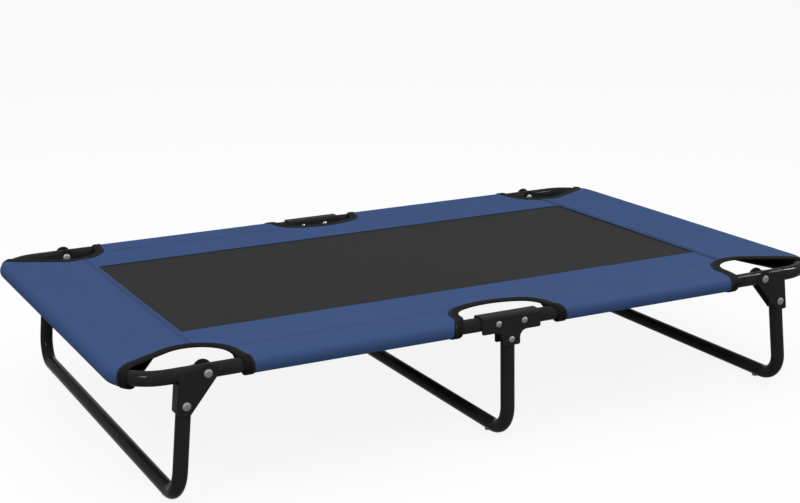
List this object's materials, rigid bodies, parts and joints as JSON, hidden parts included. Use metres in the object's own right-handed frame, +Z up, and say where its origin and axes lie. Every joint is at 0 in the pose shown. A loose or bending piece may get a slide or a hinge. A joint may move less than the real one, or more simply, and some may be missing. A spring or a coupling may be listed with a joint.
{
  "type": "raised pet cot",
  "caption": "Raised pet cot: tube frame on fold-away U-shaped legs, with a taut mesh deck in blue cloth sleeves and bound cut-outs at the leg pivots.",
  "frame": {"origin": "on the floor, under the middle of the deck", "axes": "+X along the length to the right end in the picture, +Y across to the back side, +Z up"},
  "size_m": [1.2244, 0.7756, 0.21],
  "materials": {
    "black_powder_coat": "satin powder coat on steel",
    "bare_steel": "bare, inside the rail",
    "rivet_steel": "dull zinc plate",
    "foot_plastic": "matt",
    "mesh": "coated polyester mesh",
    "blue_cloth": "plain-woven polyester",
    "binding_tape": "ribbed webbing tape"
  },
  "bodies": {
    "frame": {"left_half_frame": "black_powder_coat", "right_half_frame": "black_powder_coat", "front_spigot": "bare_steel", "back_spigot": "bare_steel", "front_saddle": "black_powder_coat", "back_saddle": "black_powder_coat", "saddle_rivets": "rivet_steel", "middle_pivot_rivets": "rivet_steel", "left_pivot_rivets": "rivet_steel", "right_pivot_rivets": "rivet_steel", "mesh_panel": "mesh", "front_panel": "blue_cloth", "back_panel": "blue_cloth", "left_end_panel": "blue_cloth", "right_end_panel": "blue_cloth", "front_left_tape": "binding_tape", "front_middle_tape": "binding_tape", "front_right_tape": "binding_tape", "back_left_tape": "binding_tape", "back_middle_tape": "binding_tape", "back_right_tape": "binding_tape"},
    "left_leg_set": {"left_leg": "black_powder_coat", "left_front_bracket": "black_powder_coat", "left_back_bracket": "black_powder_coat", "left_leg_rivets": "rivet_steel", "left_feet": "foot_plastic"},
    "right_leg_set": {"right_leg": "black_powder_coat", "right_front_bracket": "black_powder_coat", "right_back_bracket": "black_powder_coat", "right_leg_rivets": "rivet_steel", "right_feet": "foot_plastic"},
    "middle_leg_set": {"middle_leg": "black_powder_coat", "middle_feet": "foot_plastic"}
  },
  "joints": [
    {"name": "left_leg_fold", "type": "hinge", "parent": "frame", "child": "left_leg_set", "pos_m": [-0.484, 0, 0.196], "axis": [0, -1, 0], "range_deg": [0, 94]},
    {"name": "right_leg_fold", "type": "hinge", "parent": "frame", "child": "right_leg_set", "pos_m": [0.484, 0, 0.196], "axis": [0, 1, 0], "range_deg": [0, 94]},
    {"name": "middle_leg_fold", "type": "hinge", "parent": "frame", "child": "middle_leg_set", "pos_m": [0, 0, 0.169], "axis": [0, 1, 0], "range_deg": [-90, 90]}
  ]
}
